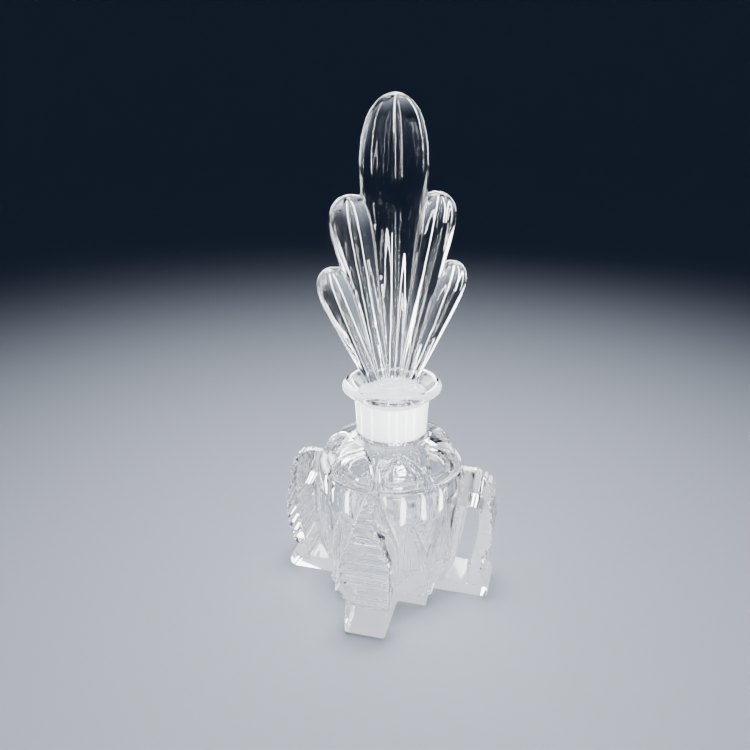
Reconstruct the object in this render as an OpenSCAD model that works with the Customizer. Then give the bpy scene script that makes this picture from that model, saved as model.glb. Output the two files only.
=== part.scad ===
// Crystal perfume bottle: a square-footed round vessel on four stepped buttress legs,
// with a ground-glass neck and a tall five-lobe fan stopper that lifts straight out.
// Millimetres, +Z up. The origin is on the bottle's axis, in the plane the feet stand on.
// The front leg points along -Y.

/* [Whole bottle] */
// Height from the feet to the tip of the middle lobe
total_h = 152; // [149:1:158]

/* [Vessel] */
// Radius of the round wall between the legs
wall_r = 22.8; // [22.4:0.1:23.2]
// Half of the width across the flat faces of the square plinth
plinth_half = 15; // [14.2:0.1:16]
// Height of the square plinth
plinth_h = 3.8; // [3:0.1:4.5]
// Height at which the flared faces run out into the round wall
flare_top_z = 21; // [19:0.5:23]
// Height at which the wall turns over into the domed shoulder
shoulder_z = 39.8; // [39.5:0.1:40.2]
// Radius of the domed shoulder, seen from the side
shoulder_bend = 13.2; // [13:0.1:13.4]
// Thickness of glass between the cavity and the round wall
glass_wall = 5; // [4.5:0.1:5.5]
// Thickness of the solid glass under the cavity
base_glass = 8; // [7.5:0.1:9]
// Depth of the eight tall pointed flutes in the lower wall
flute_depth = 2.4; // [1.8:0.1:2.8]
// Depth of the eight soft grooves that part the petals of the shoulder
groove_depth = 0.9; // [0.6:0.1:1.2]

/* [Neck and lip] */
// Outer radius of the neck at its foot
neck_foot_r = 10.9; // [10.7:0.1:11.1]
// Outer radius of the neck where the lip flares out
neck_top_r = 11.55; // [11.4:0.05:11.8]
// Height of the foot of the neck, inside the crown of the shoulder
neck_foot_z = 51.5; // [51.2:0.1:52]
// Height at which the lip flares out
lip_z = 65.3; // [65:0.1:65.6]
// Height of the top of the lip
rim_z = 70.2; // [69.8:0.1:70.6]
// Outer radius of the lip
rim_r = 15.1; // [14.8:0.1:15.4]

/* [Ground joint] */
// Radius of the ground plug at its top
plug_top_r = 8.9; // [8.7:0.05:9]
// Radius of the ground plug at its lower end
plug_end_r = 8.2; // [8.1:0.05:8.3]
// Length of the ground plug
plug_len = 11; // [10.5:0.1:11.3]
// Radial gap between the plug and the socket
plug_fit = 0.04; // [0.02:0.01:0.08]

/* [Legs] */
// Width of a leg across its stepped front
leg_w = 15; // [14:0.1:16]
// Width of the foot block where it meets the floor
foot_w = 12; // [11:0.1:13]
// Distance from the axis to the front of the leg's bow
leg_reach = 33.8; // [33.4:0.1:34.2]
// Height of the slab that joins the foot to the plinth
slab_h = 5.2; // [4.8:0.1:5.6]
// Height of the top of the window between the leg and the vessel
window_top_z = 32.6; // [32:0.1:33.4]
// Rise from one rounded step of a leg to the next
step_pitch = 3.2; // [3:0.1:3.3]
// Radius of one rounded step
step_r = 1.75; // [1.7:0.05:1.9]

/* [Fan stopper] */
// Angle that the fan is turned about the axis, from facing the front leg
fan_turn = 27.5; // [0:0.5:90]
// Half of the thickness of the middle lobe
fan_half_t = 4.8; // [4.4:0.1:5.2]
// Half of the width of the middle lobe's head
middle_half_w = 9.2; // [8.6:0.1:9.6]
// Half of the width of an inner side lobe's head
inner_half_w = 6.1; // [5.6:0.1:6.5]
// Half of the width of an outer side lobe's head
outer_half_w = 5; // [4.6:0.1:5.3]
// Distance from the fan's middle to the head of an inner side lobe
inner_reach = 12; // [11.5:0.1:12.5]
// Distance from the fan's middle to the head of an outer side lobe
outer_reach = 17; // [16.5:0.1:17.5]

/* [Hidden] */
$fn = 96;
far = 60;
flute_turns = [for (leg = [0 : 90 : 359]) for (side = [-1, 1]) leg + side * 32];
ridge_turns = [0 : 45 : 359];
cavity_r = wall_r - glass_wall;
shoulder_mid_r = wall_r - shoulder_bend;
plinth_corner_r = plinth_half * sqrt(2) + 0.4;
plug_end_z = lip_z - plug_len;
crown_top_z = lip_z + 4.3;
// The front of a leg is a long flat bow below and a tight bend above, round the middle of the hip
hip_mid_r = leg_reach - 7.8;
hip_mid_z = 36;
hip_bend = 7.3;
bow_bend = 39;
bow_mid_z = 24.5;
// The rounded steps: how many, and the angle of the lowest one
bow_steps = 8;
bow_first_turn = -19.2;
hip_steps = 3;
hip_first_turn = 5;
// Height of the pinch above the sloping toe
pinch_z = 9.7;
// Half heights of the rounded heads of the lobes
middle_head_h = 14.4;
inner_head_h = 7.2;
outer_head_h = 5.6;
// Heights of the middles of those heads
middle_head_z = total_h - middle_head_h;
inner_head_z = total_h - 33;
outer_head_z = total_h - 51.5;
// Half widths of the lobes at their roots, and how far from the fan's middle the side roots stand
middle_root_half = 3;
inner_root_half = 2.6;
outer_root_half = 2.4;
inner_root_x = 2.6;
outer_root_x = 5.2;
// How much thinner each way the side lobes are than the middle one
inner_thinner = 0.5;
outer_thinner = 1;
// Radius of the socket at its top, and of the straight throat below it
socket_top_r = plug_top_r + plug_fit;
throat_r = plug_end_r + plug_fit;
// Points along an arc in the plane of a profile
function arc(cx, cz, r, from, to, steps) =
    [for (i = [0 : steps]) let (a = from + (to - from) * i / steps) [cx + r * cos(a), cz + r * sin(a)]];

// ---------------------------------------------------------------- the vessel

// Everything inside the outer surface of the vessel before its flutes are cut
module vessel_envelope() {
    intersection() {
        rotate_extrude() {
            polygon(concat(
                [[0, 0], [plinth_corner_r, 0], [plinth_corner_r, plinth_h]],
                [[wall_r - 0.7, 14], [wall_r, 26]],
                arc(shoulder_mid_r, shoulder_z, shoulder_bend, 0, 84, 14),
                [[0, shoulder_z + shoulder_bend]]));
        }
        flared_faces();
        rotate([0, 0, 90]) flared_faces();
    }
}

// A pair of opposite faces: a straight plinth, a small ledge and a flare out to the round wall
module flared_faces() {
    half_profile = [
        [plinth_half, 0],
        [plinth_half, plinth_h],
        [plinth_half + 1.6, plinth_h + 0.6],
        [plinth_half + 5.1, 13],
        [wall_r + 0.6, flare_top_z],
        [wall_r + 0.6, far]];
    rotate([90, 0, 0])
        linear_extrude(far, center = true)
            polygon(concat(half_profile, [for (i = [5 : -1 : 0]) [-half_profile[i][0], half_profile[i][1]]]));
}

// A tall pointed flute: a leaning cylinder that grazes the wall and runs out at the top
module pointed_flute() {
    flute_r = 5;
    flute_h = 45;
    flute_mid_z = 15;
    lean = 8;
    translate([wall_r + flute_r - flute_depth, 0, flute_mid_z])
        rotate([0, lean, 0])
            cylinder(r = flute_r, h = flute_h, center = true);
}

// A groove that follows the bend of the shoulder from the neck down to the wall
module petal_groove() {
    groove_r = 4;
    sweep = 72;
    translate([shoulder_mid_r, 0, shoulder_z])
        rotate([90, 0, 0])
            rotate_extrude(angle = sweep)
                translate([shoulder_bend + groove_r - groove_depth, 0])
                    circle(r = groove_r);
}

// The hollow for the perfume: a flat floor, rounded corners and a domed top that runs into the throat
module cavity() {
    floor_r = 9;
    floor_bend = 6;
    dome_bend = 9.5;
    rotate_extrude()
        polygon(concat(
            [[0, base_glass], [floor_r, base_glass]],
            arc(floor_r, base_glass + floor_bend, floor_bend, -75, -20, 5),
            [[cavity_r - 1.2, 22], [cavity_r, 31]],
            arc(cavity_r - dome_bend, shoulder_z - 2, dome_bend, 12, 60, 7),
            [[throat_r, neck_foot_z - 3], [throat_r, far], [0, far]]));
}

module vessel() {
    color([0.82, 0.88, 0.95, 0.5])
        difference() {
            vessel_envelope();
            for (turn = flute_turns) rotate([0, 0, turn]) pointed_flute();
            for (turn = ridge_turns) rotate([0, 0, turn]) petal_groove();
            cavity();
            translate([0, 0, neck_foot_z]) cylinder(r = neck_foot_r, h = 10);
        }
}

// ---------------------------------------------------------------- neck and lip

// The tube with the ground socket in it, tapered as far down as the plug reaches
module neck() {
    straight_h = 3.5;
    color([0.95, 0.96, 1, 0.9])
        rotate_extrude()
            polygon([
                [throat_r, neck_foot_z],
                [neck_foot_r, neck_foot_z],
                [neck_foot_r, neck_foot_z + straight_h],
                [neck_top_r, lip_z],
                [socket_top_r, lip_z],
                [throat_r, plug_end_z]]);
}

// The flared pouring lip with its thick rolled edge
module lip() {
    bead_r = 1.5;
    color([0.85, 0.9, 0.96, 0.5])
        rotate_extrude()
            polygon(concat(
                [[socket_top_r, lip_z], [neck_top_r, lip_z], [neck_top_r + 0.9, lip_z + 1.5]],
                arc(rim_r - bead_r, rim_z - bead_r, bead_r, -35, 140, 10),
                [[10.2, lip_z + 2.3], [socket_top_r + 0.3, lip_z + 1]]));
}

// ---------------------------------------------------------------- legs

// A point on the bow or on the hip, at a depth below the surface
function bow_point(turn, depth) =
    [leg_reach - bow_bend + (bow_bend - depth) * cos(turn), bow_mid_z + (bow_bend - depth) * sin(turn)];
function hip_point(turn, depth) =
    [hip_mid_r + (hip_bend - depth) * cos(turn), hip_mid_z + (hip_bend - depth) * sin(turn)];

// Outline of a leg seen from the side: distance from the axis against height
module leg_side() {
    core_depth = 1.4;
    toe_r = leg_reach - 0.4;
    pinch_r = leg_reach - 3.5;
    polygon(concat(
        [[13, 0], [toe_r - 1.8, 0], [toe_r - 0.3, 0.7], [toe_r, 2], [toe_r, 4], [toe_r - 0.6, 5],
         [pinch_r, pinch_z]],
        [for (turn = [-21 : 5 : 14]) bow_point(turn, core_depth)],
        [for (turn = [5 : 15 : 50]) hip_point(turn, core_depth)],
        [for (turn = [70 : 10 : 90]) hip_point(turn, 0.1)],
        [[12, hip_mid_z + hip_bend - 0.1]]));
    for (i = [0 : bow_steps - 1])
        translate(bow_point(bow_first_turn + i * step_pitch / bow_bend * 180 / PI, step_r)) circle(r = step_r);
    for (i = [0 : hip_steps - 1])
        translate(hip_point(hip_first_turn + i * step_pitch / hip_bend * 180 / PI, step_r)) circle(r = step_r);
}

// Outline of the tall window through a leg, which leaves a thin root against the vessel
module window_side() {
    polygon([
        [19.4, slab_h], [24.8, slab_h], [26.2, slab_h + 1.2], [27.7, 14.4], [28.6, 19.5],
        [29.2, 26], [29, window_top_z - 2.2], [28.6, window_top_z - 0.7], [27.4, window_top_z],
        [26, window_top_z], [24.9, window_top_z - 0.7], [24.6, window_top_z - 2.1],
        [24.4, 28.6], [23.6, 20], [22.4, 12.5]]);
}

// Outline of a leg seen from the front: broad below, drawn in to a narrow ridge at the shoulder
module leg_front_outline() {
    half = leg_w / 2;
    foot_half = foot_w / 2;
    ridge_half = 1.6;
    right_side = [[foot_half, 0], [foot_half + 0.6, pinch_z], [half - 0.3, pinch_z + 1.8], [half, 14],
                  [half, 26], [3.4, 37.5], [ridge_half, 43], [ridge_half, 50]];
    left_side = [for (i = [len(right_side) - 1 : -1 : 0]) [-right_side[i][0], right_side[i][1]]];
    polygon(concat(right_side, left_side));
}

// A leg reaching out along +X
module leg() {
    difference() {
        intersection() {
            rotate([90, 0, 0]) linear_extrude(leg_w + 2, center = true)
                difference() {
                    leg_side();
                    window_side();
                }
            rotate([90, 0, 90]) linear_extrude(far) leg_front_outline();
        }
        vessel_envelope();
    }
}

module leg_front() color([0.78, 0.86, 0.95, 0.6]) rotate([0, 0, 270]) leg();
module leg_right() color([0.78, 0.86, 0.95, 0.6]) rotate([0, 0, 0]) leg();
module leg_back() color([0.78, 0.86, 0.95, 0.6]) rotate([0, 0, 90]) leg();
module leg_left() color([0.78, 0.86, 0.95, 0.6]) rotate([0, 0, 180]) leg();

// ---------------------------------------------------------------- stopper

// A flat-sided ball: half width, half thickness and half height
module pebble(half_w, half_t, half_h) {
    scale([half_w, half_t, half_h]) sphere(r = 1, $fn = 32);
}

// A teardrop lobe from a slim root in the crown to a fat rounded head
module teardrop(root_x, root_half, head_x, head_z, head_half, head_h, half_t) {
    root_z = crown_top_z - 1;
    root_half_t = 3;
    root_half_h = 3;
    lean = atan2(head_x - root_x, head_z - root_z);
    rotate([0, 0, fan_turn])
        hull() {
            translate([root_x, 0, root_z]) rotate([0, lean, 0]) pebble(root_half, root_half_t, root_half_h);
            translate([head_x, 0, head_z]) rotate([0, lean, 0]) pebble(head_half, half_t, head_h);
        }
}

module middle_shape() {
    teardrop(0, middle_root_half, 0, middle_head_z, middle_half_w, middle_head_h, fan_half_t);
}

// The side lobes come in pairs: side is -1 on the left and 1 on the right
module inner_shape(side) {
    teardrop(side * inner_root_x, inner_root_half, side * inner_reach, inner_head_z,
             inner_half_w, inner_head_h, fan_half_t - inner_thinner);
}

module outer_shape(side) {
    teardrop(side * outer_root_x, outer_root_half, side * outer_reach, outer_head_z,
             outer_half_w, outer_head_h, fan_half_t - outer_thinner);
}

// The clear crown that the lobes rise from
module crown_shape() {
    edge_r = 3.2;
    rotate_extrude()
        polygon(concat(
            [[0, lip_z], [plug_top_r - 0.3, lip_z]],
            arc(plug_top_r - 0.3 - edge_r, crown_top_z - edge_r, edge_r, 0, 80, 6),
            [[0, crown_top_z]]));
}

module lobe_middle() {
    color([0.88, 0.92, 1, 0.45])
        difference() {
            middle_shape();
            crown_shape();
        }
}

module inner_lobe(side) {
    color([0.88, 0.92, 1, 0.45])
        difference() {
            inner_shape(side);
            middle_shape();
            crown_shape();
        }
}

module outer_lobe(side) {
    color([0.88, 0.92, 1, 0.45])
        difference() {
            outer_shape(side);
            inner_shape(side);
            middle_shape();
            crown_shape();
        }
}

module lobe_inner_left() inner_lobe(-1);
module lobe_inner_right() inner_lobe(1);
module lobe_outer_left() outer_lobe(-1);
module lobe_outer_right() outer_lobe(1);

module stopper_crown() color([0.88, 0.92, 1, 0.45]) crown_shape();

// The tapered ground plug
module stopper_plug() {
    color([0.96, 0.97, 1, 0.95])
        translate([0, 0, plug_end_z])
            cylinder(r1 = plug_end_r, r2 = plug_top_r, h = plug_len);
}

vessel();
neck();
lip();
leg_front();
leg_right();
leg_back();
leg_left();
lobe_middle();
lobe_inner_left();
lobe_inner_right();
lobe_outer_left();
lobe_outer_right();
stopper_crown();
stopper_plug();
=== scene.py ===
import math

import bmesh
import bpy
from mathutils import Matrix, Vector


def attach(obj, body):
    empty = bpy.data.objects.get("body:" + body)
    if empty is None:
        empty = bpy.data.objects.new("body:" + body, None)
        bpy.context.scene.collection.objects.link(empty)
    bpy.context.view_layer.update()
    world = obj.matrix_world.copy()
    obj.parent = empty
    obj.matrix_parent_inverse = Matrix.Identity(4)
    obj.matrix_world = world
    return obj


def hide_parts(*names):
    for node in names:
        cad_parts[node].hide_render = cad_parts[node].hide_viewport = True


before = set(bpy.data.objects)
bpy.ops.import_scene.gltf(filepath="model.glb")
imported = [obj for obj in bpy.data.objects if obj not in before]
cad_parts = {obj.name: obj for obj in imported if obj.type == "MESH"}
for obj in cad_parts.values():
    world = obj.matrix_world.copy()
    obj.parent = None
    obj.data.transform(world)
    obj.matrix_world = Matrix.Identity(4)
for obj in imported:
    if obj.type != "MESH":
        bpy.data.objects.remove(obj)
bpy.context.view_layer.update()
bpy.ops.object.select_all(action="DESELECT")


# ---------------------------------------------------------------- the bottle's vessel
# One pressed piece of clear crystal: a round vessel that squares off into a plinth.
# It comes out of a heated mould, so its edges are soft and fire-polished.
# Pointed arches are pressed into its wall beside each leg, and eight more over its shoulder.

MM = 0.001
WALL_R = 22.8
SHOULDER_Z = 39.8
SHOULDER_BEND = 13.2
PLINTH_HALF = 15.0
PLINTH_H = 3.8
NECK_FOOT_R = 10.9
SECTORS = 8


def arc(cx, cz, r, start, end, steps):
    """Points along an arc of a profile, in millimetres, from one angle to another."""
    turns = [math.radians(start + (end - start) * i / steps) for i in range(steps + 1)]
    return [(cx + r * math.cos(t), cz + r * math.sin(t)) for t in turns]


def edit(piece):
    """Only this piece is selected and open in edit mode, with nothing in it selected."""
    bpy.ops.object.select_all(action="DESELECT")
    bpy.context.view_layer.objects.active = piece
    piece.select_set(True)
    bpy.ops.object.mode_set(mode="EDIT")
    bpy.ops.mesh.select_all(action="DESELECT")


def done(piece):
    """Back to object mode with the piece's faces turned outwards and its place in its mesh."""
    bpy.ops.mesh.select_all(action="SELECT")
    bpy.ops.mesh.remove_doubles(threshold=1e-6)
    bpy.ops.mesh.normals_make_consistent(inside=False)
    bpy.ops.object.mode_set(mode="OBJECT")
    bpy.ops.object.transform_apply(location=True, rotation=True, scale=True)
    return piece


def raised(name, rings, sides=128, turn=0.0):
    """A solid raised ring by ring from a disc: rings are (radius, height) in millimetres."""
    first_r, first_z = rings[0]
    bpy.ops.mesh.primitive_circle_add(vertices=sides, radius=first_r * MM, fill_type="NGON",
                                      location=(0, 0, first_z * MM), rotation=(0, 0, turn))
    piece = bpy.context.object
    piece.name = name
    bpy.ops.object.transform_apply(location=True, rotation=True, scale=True)
    edit(piece)
    bpy.ops.mesh.select_all(action="SELECT")
    at_r, at_z = rings[0]
    for r, z in rings[1:]:
        bpy.ops.mesh.extrude_region_move(TRANSFORM_OT_translate={"value": (0, 0, (z - at_z) * MM)})
        bpy.ops.transform.resize(value=(r / at_r, r / at_r, 1), center_override=(0, 0, z * MM))
        at_r, at_z = r, z
    return done(piece)


def cut_out(name, outline, depth, axis_turn=0.0):
    """A plate cut to an outline of (distance, height) points in the X-Z plane, centred on Y."""
    x, z = outline[0]
    bpy.ops.mesh.primitive_plane_add(size=MM, location=(x * MM, -depth / 2 * MM, z * MM))
    piece = bpy.context.object
    piece.name = name
    bpy.ops.object.transform_apply(location=True, rotation=True, scale=True)
    edit(piece)
    bpy.ops.mesh.select_all(action="SELECT")
    bpy.ops.mesh.merge(type="CENTER")
    for next_x, next_z in outline[1:]:
        step = ((next_x - x) * MM, 0, (next_z - z) * MM)
        bpy.ops.mesh.extrude_vertices_move(TRANSFORM_OT_translate={"value": step})
        x, z = next_x, next_z
    bpy.ops.mesh.select_all(action="SELECT")
    bpy.ops.mesh.edge_face_add()
    bpy.ops.mesh.extrude_region_move(TRANSFORM_OT_translate={"value": (0, depth * MM, 0)})
    done(piece)
    if axis_turn:
        turned(piece, axis_turn)
    return piece


def turned(piece, angle):
    """The piece turned about the bottle's axis, with its place kept in its mesh."""
    if angle:
        piece.rotation_euler = (0, 0, angle)
    bpy.ops.object.select_all(action="DESELECT")
    bpy.context.view_layer.objects.active = piece
    piece.select_set(True)
    bpy.ops.object.transform_apply(location=True, rotation=True, scale=True)
    return piece


def copied(piece, name):
    """A copy with its own mesh."""
    twin = piece.copy()
    twin.data = piece.data.copy()
    twin.name = name
    bpy.context.collection.objects.link(twin)
    return twin


def finish_with(piece, kind, **settings):
    """Adds a modifier to the piece and applies it."""
    modifier = piece.modifiers.new(kind.title(), kind)
    for key, value in settings.items():
        setattr(modifier, key, value)
    bpy.ops.object.select_all(action="DESELECT")
    bpy.context.view_layer.objects.active = piece
    piece.select_set(True)
    bpy.ops.object.modifier_apply(modifier=modifier.name)
    return piece


def combine(piece, tool, operation):
    """Joins, cuts or trims the piece with a tool, which is then thrown away."""
    finish_with(piece, "BOOLEAN", operation=operation, solver="MANIFOLD", object=tool)
    bpy.data.objects.remove(tool, do_unlink=True)
    return piece


shoulder_mid_r = WALL_R - SHOULDER_BEND
bottle = raised("bottle_glass",
                [(21.6, 0), (21.6, PLINTH_H), (22.1, 14), (WALL_R, 26)]
                + arc(shoulder_mid_r, SHOULDER_Z, SHOULDER_BEND, 0, 84, 18))
square = raised("square_trim",
                [(PLINTH_HALF * math.sqrt(2), -1), (PLINTH_HALF * math.sqrt(2), PLINTH_H),
                 ((PLINTH_HALF + 1.6) * math.sqrt(2), PLINTH_H + 0.6),
                 ((PLINTH_HALF + 5.1) * math.sqrt(2), 13),
                 ((WALL_R + 0.6) * math.sqrt(2), 21), ((WALL_R + 0.6) * math.sqrt(2), 60)],
                sides=4, turn=math.radians(45))
combine(bottle, square, "INTERSECT")


def niche(name, left, right, low, spring, apex, fullness):
    """A wedge with the outline of an arch, reaching out along +Y from inside the vessel.

    The more its fullness, the rounder the arch is above its spring."""
    apex_x, apex_z = apex
    rise = apex_z - spring
    steps = [i / 8 for i in range(1, 8)]
    up_right = [(right + (apex_x - right) * t ** fullness, spring + rise * t) for t in steps]
    down_left = [(left + (apex_x - left) * t ** fullness, spring + rise * t) for t in reversed(steps)]
    wedge = cut_out(name, [(left, low), (right, low), (right, spring)] + up_right + [apex]
                    + down_left + [(left, spring)], 24)
    wedge.location = (0, 20 * MM, 0)
    return turned(wedge, 0)


def press_niches(piece, wedges, depth):
    """Every wedge presses its outline into the piece to the same depth."""
    core = copied(piece, "core")
    slim = 1 - depth / WALL_R
    low = 1 - depth / (SHOULDER_Z + SHOULDER_BEND)
    core.scale = (slim, slim, low)
    turned(core, 0)
    for wedge in wedges:
        combine(piece, wedge, "DIFFERENCE")
    return combine(piece, core, "UNION")


def mirrored(outline):
    """The same arch on the other side of a leg."""
    left, right, low, spring, (apex_x, apex_z), fullness = outline
    return -right, -left, low, spring, (-apex_x, apex_z), fullness


wall_arch = (8.7, 14.9, 4.9, 17, (10.2, 35), 1.7)
wall_arch_inner = (10.3, 13.5, 6.6, 13, (11.0, 28), 1.7)
shoulder_arch = (-7.3, 7.3, 43.4, 46.0, (0, 51.9), 2.6)
shoulder_arch_inner = (-4.4, 4.4, 44.8, 46.5, (0, 50.2), 2.2)
for depth, wall_outline, shoulder_outline in ((1.5, wall_arch, shoulder_arch),
                                              (1.3, wall_arch_inner, shoulder_arch_inner)):
    wedges = []
    for i in range(4):
        for outline in (wall_outline, mirrored(wall_outline)):
            wedges.append(turned(niche("wall_niche", *outline), math.tau * i / 4))
    for i in range(SECTORS):
        wedges.append(turned(niche("shoulder_niche", *shoulder_outline), math.tau * (i + 0.5) / SECTORS))
    press_niches(bottle, wedges, depth)


# ---------------------------------------------------------------- legs
# Four buttress legs pressed in one with the vessel, each a plate with a tall window in it. The bowed
# front of each is moulded into rounded steps, broad below and narrow at the hip, and it is pinched
# in above a sloping toe that a slab joins to the plinth.

LEG_REACH = 33.8
HIP_R, HIP_Z, HIP_BEND = 26.0, 36.0, 7.3
BOW_MID_Z, BOW_BEND = 24.5, 39.0
STEP_PITCH = 3.2
STEP_R = 1.75
SLAB_H = 5.2
WINDOW_TOP_Z = 32.6


def scallops(cx, cz, r, first_turn, count):
    """Rounded steps along the outside of an arc, bottom one first."""
    pitch = STEP_PITCH / r
    crossing = math.acos((r - STEP_R) * math.sin(pitch / 2) / STEP_R)
    pitch, crossing = math.degrees(pitch), math.degrees(crossing)
    reach = 90 + pitch / 2 - crossing
    points = []
    for i in range(count):
        turn = first_turn + i * pitch
        sx = cx + (r - STEP_R) * math.cos(math.radians(turn))
        sz = cz + (r - STEP_R) * math.sin(math.radians(turn))
        points += arc(sx, sz, STEP_R, turn - reach, turn + reach, 8)
    return points


leg_outline = (
    [(12, 0), (31.6, 0)] + arc(31.6, 1.8, 1.8, -80, 0, 4) + arc(31.6, 3.6, 1.8, 0, 50, 4) + [(30.3, 9.7)]
    + scallops(LEG_REACH - BOW_BEND, BOW_MID_Z, BOW_BEND, -19.2, 8)
    + scallops(HIP_R, HIP_Z, HIP_BEND, 5, 3)
    + arc(HIP_R, HIP_Z, HIP_BEND - 0.1, 72, 90, 3) + [(12, HIP_Z + HIP_BEND - 0.1)])
window_outline = (
    [(19.4, SLAB_H), (24.8, SLAB_H)] + arc(25.0, 7.2, 2.0, -80, -10, 3)
    + [(27.7, 14.4), (28.6, 19.5), (29.2, 26)] + arc(26.8, WINDOW_TOP_Z - 2.3, 2.3, 0, 175, 12)
    + [(24.3, 28.0), (23.6, 20), (22.4, 12.5)])
front_outline = [(6.0, -1), (6.0, 0), (6.6, 9.6), (7.2, 11.5), (7.5, 14), (7.5, 26),
                 (3.4, 37.5), (1.6, 43), (1.6, 50)]
front_outline += [(-x, z) for x, z in reversed(front_outline)]

leg = cut_out("leg", leg_outline, 17)
combine(leg, cut_out("window", window_outline, 20), "DIFFERENCE")
front_trim = cut_out("front_trim", front_outline, 80)
combine(leg, turned(front_trim, math.pi / 2), "INTERSECT")
for i in range(4):
    combine(bottle, turned(copied(leg, "leg_copy"), math.tau * i / 4), "UNION")
bpy.data.objects.remove(leg, do_unlink=True)


# ---------------------------------------------------------------- neck, lip and cavity
# The neck is drawn up from the same glass and its mouth is flared into a thick rolled lip.
# A taper ground inside the neck with abrasive leaves it frosted white where the stopper seats; that band is
# also given a faint painted glow.
# The cavity under it is blown, so its wall is rounder than the outside.

LIP_Z = 65.3
RIM_Z = 70.2
RIM_R = 15.1
BEAD_R = 1.5
SOCKET_END_Z = 54.3
SOCKET_END_R = 8.3
SOCKET_TOP_R = 9.0
CAVITY_R = 17.8

neck = raised("neck", [(9.5, 48), (NECK_FOOT_R, 50), (10.9, 55), (11.1, 60), (11.5, 65), (11.75, 65.5),
                       (12.6, 66.2), (13.9, 67.3)]
              + arc(RIM_R - BEAD_R, RIM_Z - BEAD_R, BEAD_R, -25, 90, 9) + [(9.5, RIM_Z - 0.02)])
combine(bottle, neck, "UNION")
hollow = raised("hollow", [(9, 8)] + arc(9, 14, 6, -75, -20, 6)
                + [(16.6, 22), (CAVITY_R, 31)] + arc(CAVITY_R - 9.5, SHOULDER_Z - 2, 9.5, 12, 60, 8)
                + [(8.6, 49), (SOCKET_END_R, SOCKET_END_Z), (SOCKET_TOP_R, LIP_Z), (9.4, 66.3), (10.4, 67.6),
                   (11.6, 68.8), (12.4, 69.7), (13.0, 70.6), (13.2, 75)])
combine(bottle, hollow, "DIFFERENCE")


def fuse(piece, grain, passes, keep):
    """The glass flows together: joints and arrises soften as they do in the fire-polishing flame."""
    finish_with(piece, "REMESH", mode="VOXEL", voxel_size=grain * MM, use_smooth_shade=True)
    finish_with(piece, "SMOOTH", factor=0.5, iterations=passes)
    if keep < 1:
        finish_with(piece, "DECIMATE", ratio=keep)
    bpy.ops.object.shade_smooth()
    return piece


fuse(bottle, 0.34, 4, 0.33)


class Socket:
    """One output of a shader node. Arithmetic on it adds the Math node that does it."""

    def __init__(self, shader, link):
        self.shader, self.link = shader, link

    def _math(self, operation, a, b=None):
        values = {0: a} if b is None else {0: a, 1: b}
        return self.shader.node("ShaderNodeMath", {"operation": operation}, values)

    def __add__(self, other): return self._math("ADD", self, other)
    def __radd__(self, other): return self._math("ADD", other, self)
    def __sub__(self, other): return self._math("SUBTRACT", self, other)
    def __rsub__(self, other): return self._math("SUBTRACT", other, self)
    def __mul__(self, other): return self._math("MULTIPLY", self, other)
    def __rmul__(self, other): return self._math("MULTIPLY", other, self)
    def __gt__(self, other): return self._math("GREATER_THAN", self, other)
    def __lt__(self, other): return self._math("LESS_THAN", self, other)


class Finish:
    """A material that is built one node at a time."""

    def __init__(self, name):
        self.material = bpy.data.materials.new(name)
        self.material.use_nodes = True
        self.material.node_tree.nodes.clear()

    def node(self, kind, settings=None, values=None, output=0):
        made = self.material.node_tree.nodes.new(kind)
        for key, value in (settings or {}).items():
            setattr(made, key, value)
        for key, value in (values or {}).items():
            if isinstance(value, Socket):
                self.material.node_tree.links.new(value.link, made.inputs[key])
            else:
                made.inputs[key].default_value = value
        return Socket(self, made.outputs[output]) if made.outputs else None

    def axis_distance(self, place):
        """Distance from the bottle's axis, in metres."""
        flat = self.node("ShaderNodeVectorMath", {"operation": "MULTIPLY"}, {0: place, 1: (1, 1, 0)})
        return self.node("ShaderNodeVectorMath", {"operation": "LENGTH"}, {0: flat}, output="Value")

    def height(self, place):
        return self.node("ShaderNodeSeparateXYZ", {}, {0: place}, output="Z")

    def surface(self, shader):
        self.node("ShaderNodeOutputMaterial", {}, {"Surface": shader})
        return self.material


def crystal(name, ground_low, ground_top, ground_r):
    """Clear crystal, with the band between two heights and inside a radius ground to a white frosted finish
    that is also given a faint painted glow.
    """
    finish = Finish(name)
    place = finish.node("ShaderNodeTexCoord", output="Object")
    waves = finish.node("ShaderNodeTexNoise", {}, {"Vector": place, "Scale": 130.0, "Detail": 1.0}, output=0)
    ripple = finish.node("ShaderNodeBump", {}, {"Strength": 0.12, "Distance": 0.0006, "Height": waves})
    clear = finish.node("ShaderNodeBsdfPrincipled", {}, {
        "Base Color": (0.985, 0.992, 1.0, 1), "Roughness": 0.0, "IOR": 1.54,
        "Transmission Weight": 1.0, "Normal": ripple})
    grit = finish.node("ShaderNodeTexNoise", {}, {"Vector": place, "Scale": 5000.0, "Detail": 2.0}, output=0)
    scoured = finish.node("ShaderNodeBump", {}, {"Strength": 0.5, "Distance": 0.00008, "Height": grit})
    # Painted light: the emission gives the ground, frosted band a faint blue-white painted glow, standing in
    # for light scattered to it through the glass.
    frost_and_painted_glow = finish.node("ShaderNodeBsdfPrincipled", {}, {
        "Base Color": (0.97, 0.98, 1.0, 1), "Roughness": 0.6, "IOR": 1.54,
        "Transmission Weight": 0.1, "Coat Weight": 0.6, "Coat Roughness": 0.05, "Normal": scoured,
        "Emission Color": (0.9, 0.95, 1.0, 1), "Emission Strength": 0.5})
    high = finish.height(place)
    in_band = (high > ground_low * MM) * (high < ground_top * MM)
    ground = in_band * (finish.axis_distance(place) < ground_r * MM)
    both = finish.node("ShaderNodeMixShader", {}, {0: ground, 1: clear, 2: frost_and_painted_glow})
    return finish.surface(both)


bottle.data.materials.clear()
bottle.data.materials.append(crystal("bottle_crystal", SOCKET_END_Z, LIP_Z + 0.1, 12.0))
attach(bottle, "bottle")
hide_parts("vessel", "neck", "lip", "leg_front", "leg_right", "leg_back", "leg_left")
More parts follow.
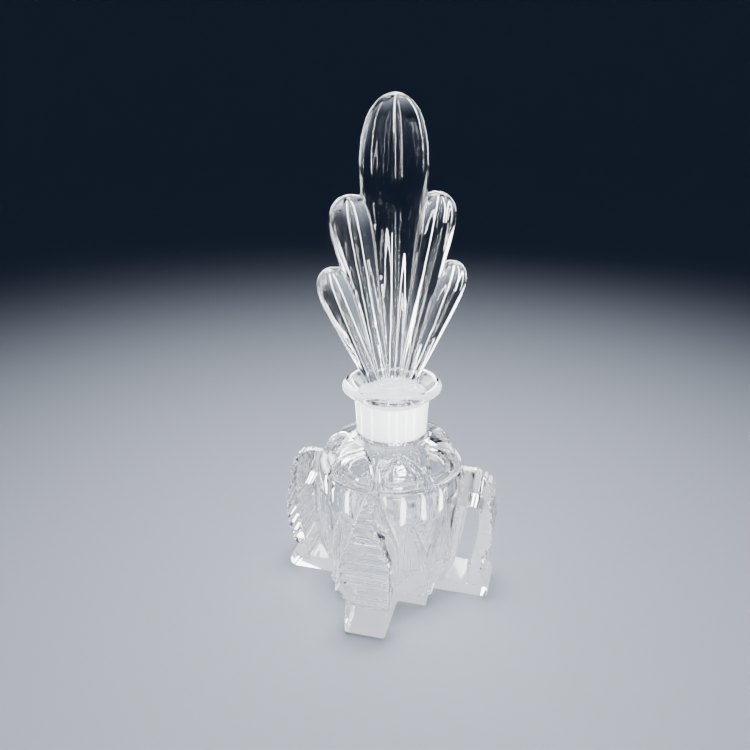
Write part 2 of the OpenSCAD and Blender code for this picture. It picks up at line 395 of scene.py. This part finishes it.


# ---------------------------------------------------------------- stopper
# One pressed piece of the same crystal: five teardrop lobes in a flat fan, fused where they
# touch, that rise from a clear crown. Its tapered plug is ground into the bottle's own socket,
# so it is frosted too, with the same faint painted glow. It is loose, and stands turned a little in the
# neck.

FAN_TURN = 27.5
TOTAL_H = 152.0
CROWN_TOP_Z = 69.6
CROWN_R, CROWN_BEND = 8.6, 3.2
PLUG_END_R, PLUG_TOP_R = 8.05, 8.8
PILLOW = 2.0
FOLD = 0.12
ROOT_HALF_T = 3.0


def lobe(name, root, tip, root_half, swell, blunt, half_t):
    """A teardrop from a slim root to a fat rounded tip. Places are (across, height).

    Its half width grows by swell from root_half, and blunt sets how squarely its tip is rounded.
    Two soft folds run down each face, halfway out, and draw together at the root."""
    length = math.hypot(tip[0] - root[0], tip[1] - root[1])
    parts = [i / 40 for i in range(36)] + [1 - 0.1 * (1 - i / 12) ** 2 for i in range(1, 12)] + [0.9995]
    stations = []
    for part in parts:
        close = math.sqrt(1 - part ** blunt)
        half_width = close * (root_half + swell * part ** 1.1)
        thickness = close * (ROOT_HALF_T + (half_t - ROOT_HALF_T) * part)
        stations.append((half_width, thickness, length * part))
    first_w, first_t, first_z = stations[0]
    bpy.ops.mesh.primitive_circle_add(vertices=96, radius=MM, fill_type="NGON", location=(0, 0, 0))
    piece = bpy.context.object
    piece.name = name
    for point in piece.data.vertices:
        turn = math.atan2(point.co.y, point.co.x)
        point.co *= (abs(math.cos(turn)) ** PILLOW + abs(math.sin(turn)) ** PILLOW) ** (-1 / PILLOW)
        point.co.y *= 1 - FOLD * math.sin(math.pi * math.cos(turn)) ** 2
    piece.scale = (first_w, first_t, 1)
    bpy.ops.object.transform_apply(location=True, rotation=True, scale=True)
    edit(piece)
    bpy.ops.mesh.select_all(action="SELECT")
    for (w0, t0, z0), (w1, t1, z1) in zip(stations, stations[1:]):
        bpy.ops.mesh.extrude_region_move(TRANSFORM_OT_translate={"value": (0, 0, (z1 - z0) * MM)})
        bpy.ops.transform.resize(value=(w1 / w0, t1 / t0, 1), center_override=(0, 0, z1 * MM))
    done(piece)
    piece.rotation_euler = (0, math.atan2(tip[0] - root[0], tip[1] - root[1]), 0)
    piece.location = (root[0] * MM, 0, root[1] * MM)
    return turned(piece, 0)


root_z = CROWN_TOP_Z - 1
stopper = lobe("stopper_glass", (0, root_z), (0, TOTAL_H), 2.4, 11.6, 5.5, 5.6)
for side in (-1, 1):
    inner = lobe("inner_lobe", (side * 2.6, root_z), (side * 13.3, 126.0), 2.1, 5.7, 12, 5.0)
    outer = lobe("outer_lobe", (side * 5.0, root_z), (side * 19.1, 106.0), 2.1, 4.7, 8, 4.4)
    combine(stopper, inner, "UNION")
    combine(stopper, outer, "UNION")
plug_profile = [(PLUG_END_R - 0.4, SOCKET_END_Z), (PLUG_END_R, SOCKET_END_Z + 0.4), (PLUG_TOP_R, LIP_Z)]
crown_bend = arc(CROWN_R - CROWN_BEND, CROWN_TOP_Z - CROWN_BEND, CROWN_BEND, 0, 85, 8)
crown = raised("crown", plug_profile + [(CROWN_R, LIP_Z + 0.5)] + crown_bend, sides=96)
combine(stopper, crown, "UNION")
fuse(stopper, 0.33, 5, 0.9)
turned(stopper, math.radians(FAN_TURN))
stopper.data.materials.clear()
stopper.data.materials.append(crystal("stopper_crystal", SOCKET_END_Z - 0.5, LIP_Z + 0.05, 9.5))
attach(stopper, "stopper")
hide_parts("lobe_middle", "lobe_inner_left", "lobe_inner_right", "lobe_outer_left",
            "lobe_outer_right", "stopper_crown", "stopper_plug")


# ---------------------------------------------------------------- floor, light and camera
# A pale paper floor that curves up far behind, under one soft box overhead. Strip lights all round,
# a broad box behind and a small light table light only the glass. The camera is above and in front.

floor = raised("floor", [(1000, 0)] + arc(1000, 1200, 1200, -86, 0, 18) + [(2200, 2600)], sides=96)
edit(floor)
bm = bmesh.from_edit_mesh(floor.data)
for face in bm.faces:
    face.select = all(vertex.co.z > 2.5 for vertex in face.verts)
bmesh.update_edit_mesh(floor.data)
bpy.ops.mesh.delete(type="FACE")
bpy.ops.object.mode_set(mode="OBJECT")
bpy.ops.object.shade_smooth()
paper = Finish("studio_paper")
paper_place = paper.node("ShaderNodeTexCoord", output="Object")
paper_grain = paper.node("ShaderNodeTexNoise", {}, {"Vector": paper_place, "Scale": 900.0}, output=0)
paper_tone = paper.node("ShaderNodeMix", {"data_type": "RGBA"}, {
    0: paper_grain * 0.3, 6: (0.40, 0.44, 0.52, 1), 7: (0.43, 0.47, 0.55, 1)}, output=2)
floor.data.materials.append(paper.surface(paper.node(
    "ShaderNodeBsdfPrincipled", {}, {"Base Color": paper_tone, "Roughness": 0.8})))


def soft_box(name, place, aim, width, height, power, spread=180):
    """A rectangular soft box that faces a point. Its spread is the angle of its light, in degrees."""
    light = bpy.data.lights.new(name, "AREA")
    light.shape, light.size, light.size_y, light.energy = "RECTANGLE", width, height, power
    light.spread = math.radians(spread)
    lamp = bpy.data.objects.new(name, light)
    bpy.context.collection.objects.link(lamp)
    lamp.location = place
    lamp.rotation_euler = (Vector(aim) - Vector(place)).to_track_quat("-Z", "Y").to_euler()
    lamp.visible_camera = False
    return lamp


STRIP_DISTANCE, STRIP_LENGTH = 0.6, 0.62
LOW_STRIP_MIDDLE, LOW_STRIP_LENGTH = 0.34, 0.54
glass = bpy.data.collections.new("lit_glass")
glass.objects.link(bottle)
glass.objects.link(stopper)


def strip(name, azimuth, width, power):
    """A tall strip light beside the bottle that is flagged off the floor. Azimuth 0 is in front."""
    turn = math.radians(azimuth)
    place = (STRIP_DISTANCE * math.sin(turn), -STRIP_DISTANCE * math.cos(turn), 0.34)
    lamp = soft_box(name, place, (0, 0, 0.10), width, STRIP_LENGTH, power)
    lamp.light_linking.receiver_collection = glass


def low_strip(name, azimuth, power):
    """A thin strip light that lies on the floor, runs out from the bottle and faces up."""
    turn = math.radians(azimuth)
    place = (LOW_STRIP_MIDDLE * math.sin(turn), -LOW_STRIP_MIDDLE * math.cos(turn), 0.002)
    lamp = soft_box(name, place, (0, 0, 0), 0.010, LOW_STRIP_LENGTH, power)
    lamp.rotation_euler = (math.pi, 0, turn)
    lamp.light_linking.receiver_collection = glass


for i, azimuth in enumerate((5, 30, 58, 87, 190, 216, 262, 310)):
    strip("strip_%d" % i, azimuth, 0.020, 2.4)
    low_strip("low_strip_%d" % i, azimuth, 1.0)
strip("rim_strip_left", 234, 0.36, 8.0)
strip("rim_strip_right", 148, 0.22, 5.5)
# A broad box high behind the bottle shows in the tops of its steps, feet and lip, and a small light table
# under it shows through its foot. Both light only the glass.
back_box = soft_box("back_box", (-0.14, 0.58, 0.46), (0, 0, 0.04), 0.40, 0.26, 9.0)
light_table = soft_box("light_table", (0, 0, 0.0005), (0, 0, 1), 0.085, 0.085, 0.0115)
for lamp in (back_box, light_table):
    lamp.light_linking.receiver_collection = glass
soft_box("overhead_box", (0, 0.02, 0.70), (0, 0, 0), 0.30, 0.30, 1.0, 55)

world = bpy.data.worlds.new("studio")
bpy.context.scene.world = world
world.use_nodes = True
world.node_tree.nodes["Background"].inputs["Color"].default_value = (0.25, 0.34, 0.55, 1)
world.node_tree.nodes["Background"].inputs["Strength"].default_value = 0.16

CAMERA_AZIMUTH = math.radians(13.3)
CAMERA_DISTANCE, CAMERA_HEIGHT = 0.2094, 0.1591
CAMERA_PITCH, CAMERA_YAW = math.radians(22.63), math.radians(-1.43)
camera_data = bpy.data.cameras.new("camera")
camera_data.sensor_width = 36
camera_data.lens = 36
camera = bpy.data.objects.new("camera", camera_data)
bpy.context.collection.objects.link(camera)
camera.location = (CAMERA_DISTANCE * math.sin(CAMERA_AZIMUTH), -CAMERA_DISTANCE * math.cos(CAMERA_AZIMUTH),
                   CAMERA_HEIGHT)
camera.rotation_euler = (math.pi / 2 - CAMERA_PITCH, 0, CAMERA_AZIMUTH - CAMERA_YAW)
bpy.context.scene.camera = camera
